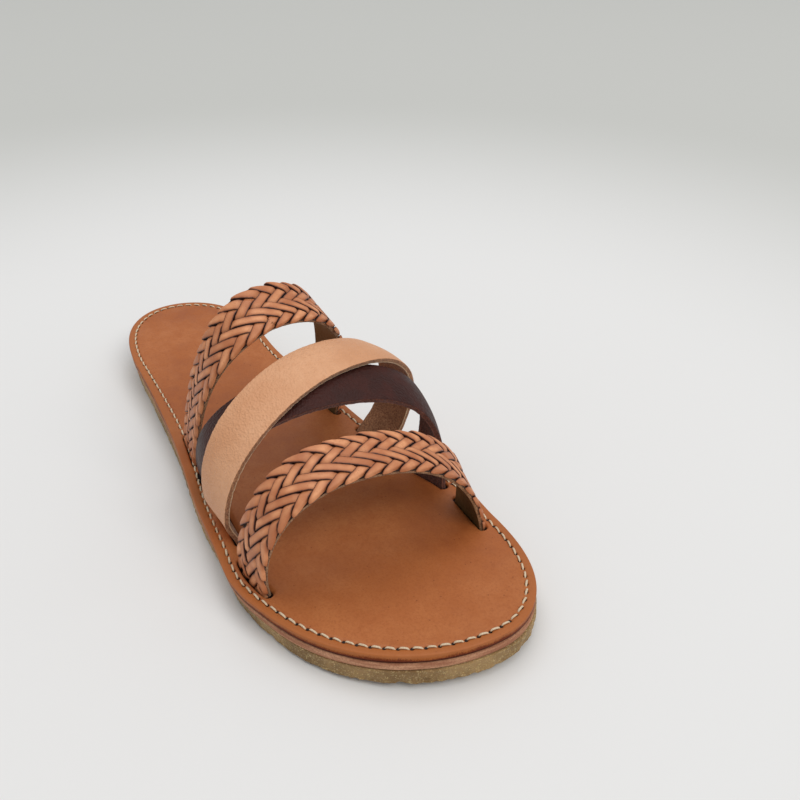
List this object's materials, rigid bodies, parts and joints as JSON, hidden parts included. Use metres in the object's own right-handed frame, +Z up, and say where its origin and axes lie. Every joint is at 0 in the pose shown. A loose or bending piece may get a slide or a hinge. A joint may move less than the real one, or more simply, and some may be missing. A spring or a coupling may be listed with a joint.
{
  "type": "huarache sandal, right shoe",
  "caption": "Slip-on leather huarache sandal for the right foot: stitched footbed on a crepe sole, with braided and plain straps over the instep and toes.",
  "frame": {"origin": "on the floor, under the middle of the sandal's length and width", "axes": "+X to the toe, +Y to the wearer's left, which is the big-toe side of this right shoe, +Z up"},
  "size_m": [0.2702, 0.0978, 0.0839],
  "materials": {
    "crepe": "rough cut natural crepe rubber, crumbly along its lower edge",
    "midsole_leather": "raw cut edge of pale pinkish leather",
    "insole_leather": "tan leather, satin, with a dark burnished edge",
    "braid_leather": "tan leather laces with dark edges, satin",
    "brown_leather": "dark brown leather, satin, suede on its back",
    "natural_leather": "pale natural leather, fine grain, fibrous cut edge",
    "thread": "waxed cream thread"
  },
  "bodies": {
    "root": {"outsole": "crepe", "midsole": "midsole_leather", "insole": "insole_leather", "instep_braid_strap": "braid_leather", "brown_cross_strap": "brown_leather", "natural_cross_strap": "natural_leather", "toe_braid_strap": "braid_leather"}
  },
  "joints": []
}
